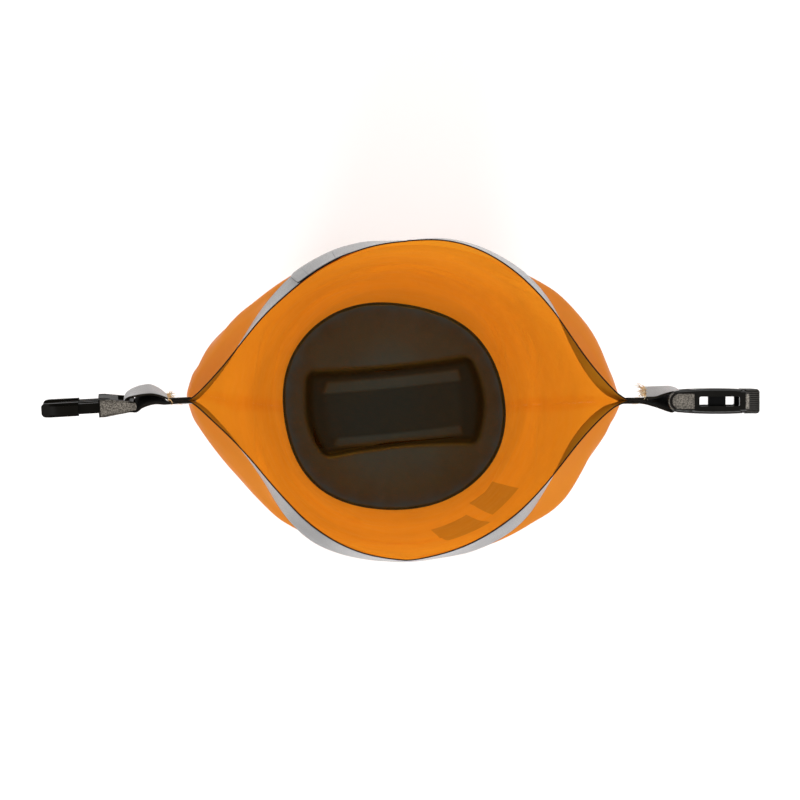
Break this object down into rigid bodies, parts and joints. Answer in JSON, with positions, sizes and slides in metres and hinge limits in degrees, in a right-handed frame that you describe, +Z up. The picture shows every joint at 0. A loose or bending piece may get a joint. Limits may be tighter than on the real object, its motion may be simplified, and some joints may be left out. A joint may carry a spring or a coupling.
{
  "type": "roll-top dry bag",
  "caption": "Open roll-top dry bag: translucent film tube on a dark round base, webbing sewn round the mouth and a side-release buckle half on a webbing tab at each end.",
  "frame": {"origin": "on the ground at the centre of the round base", "axes": "+Z up through the open mouth, +X towards the socket half of the buckle, -X towards the plug half"},
  "size_m": [0.3879, 0.2018, 0.4584],
  "materials": {
    "film": "translucent orange film, smooth and slightly glossy",
    "seam_tape": "translucent orange welded tape",
    "base_film": "dark brown coated film, satin",
    "webbing": "charcoal woven webbing",
    "dark_thread": "dark sewing thread",
    "orange_thread": "cream to orange sewing thread",
    "buckle_plastic": "black moulded plastic, glossy with textured side panels"
  },
  "bodies": {
    "bag": {"film_panel_back": "film", "film_panel_front": "film", "side_seam_right": "seam_tape", "side_seam_left": "seam_tape", "mouth_webbing_front": "webbing", "mouth_webbing_back_over": "webbing", "mouth_webbing_back_under": "webbing", "mouth_stitching": "dark_thread", "lap_stitching": "dark_thread", "base_cup": "base_film", "base_patch": "base_film", "base_strap": "webbing", "base_strap_stitching": "dark_thread"},
    "plug_tab": {"plug_tab_webbing": "webbing", "plug_tab_stitching": "orange_thread"},
    "plug_half": {"plug_frame": "buckle_plastic"},
    "arm_upper": {"plug_arm_upper": "buckle_plastic"},
    "arm_lower": {"plug_arm_lower": "buckle_plastic"},
    "socket_tab": {"socket_tab_webbing": "webbing", "socket_tab_stitching": "orange_thread"},
    "socket_half": {"socket_body": "buckle_plastic"}
  },
  "joints": [
    {"name": "plug_tab_swing", "type": "hinge", "parent": "bag", "child": "plug_tab", "pos_m": [-0.1222, 0, 0.4275], "axis": [0, 0, 1], "range_deg": [-60, 60]},
    {"name": "plug_turn", "type": "hinge", "parent": "plug_tab", "child": "plug_half", "pos_m": [-0.14997, -0.0017, 0.43367], "axis": [0.2219, -0.1085, 0.969], "range_deg": [-40, 40]},
    {"name": "arm_upper_press", "type": "hinge", "parent": "plug_half", "child": "arm_upper", "pos_m": [-0.16007, -0.00373, 0.44772], "axis": [0.0343, -0.9923, -0.119], "range_deg": [0, 8], "stiffness_Nm_per_rad": 1.5},
    {"name": "arm_lower_press", "type": "hinge", "parent": "plug_half", "child": "arm_lower", "pos_m": [-0.16521, -0.00121, 0.42524], "axis": [-0.0343, 0.9923, 0.119], "range_deg": [0, 8], "stiffness_Nm_per_rad": 1.5},
    {"name": "socket_tab_swing", "type": "hinge", "parent": "bag", "child": "socket_tab", "pos_m": [0.1222, 0, 0.4275], "axis": [0, 0, 1], "range_deg": [-60, 60]},
    {"name": "socket_turn", "type": "hinge", "parent": "socket_tab", "child": "socket_half", "pos_m": [0.14671, 0, 0.43293], "axis": [-0.2163, -0.0349, 0.9757], "range_deg": [-40, 40]}
  ]
}
